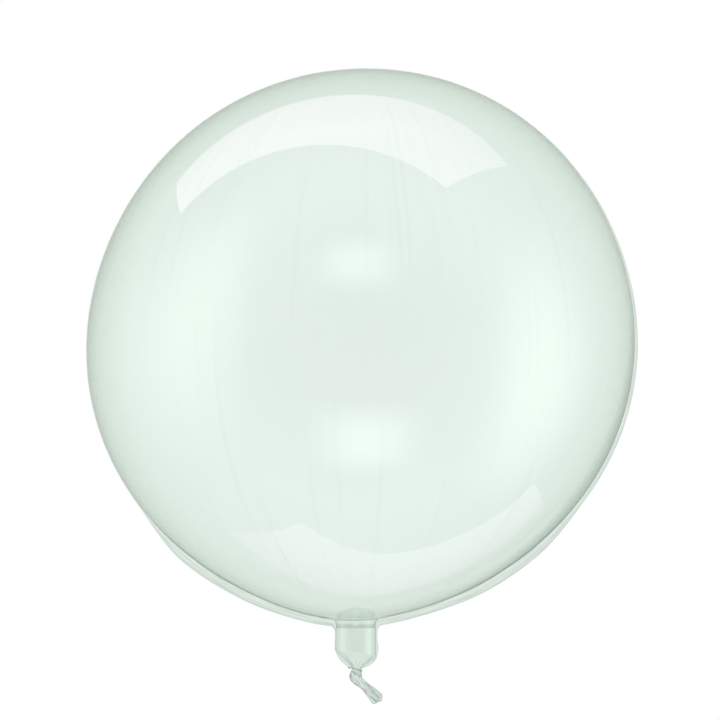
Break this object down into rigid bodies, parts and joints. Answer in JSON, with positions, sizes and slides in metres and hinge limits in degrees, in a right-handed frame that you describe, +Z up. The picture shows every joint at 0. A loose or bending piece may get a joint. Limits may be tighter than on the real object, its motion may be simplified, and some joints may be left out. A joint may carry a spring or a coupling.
{
  "type": "clear bubble balloon",
  "caption": "Round clear film balloon, blown up, with a thin welded flange, a short knotted neck and a small pleated tail, lying on a small flat spot.",
  "frame": {"origin": "middle of the small flat spot that the balloon lies on", "axes": "+Z up, square to the flat spot and to the welded flange; the knotted neck points along -Y; +X to the right seen from above with the neck nearest"},
  "size_m": [0.4643, 0.5365, 0.4448],
  "materials": {
    "clear_film": "polished"
  },
  "bodies": {
    "root": {"balloon": "clear_film"}
  },
  "joints": []
}
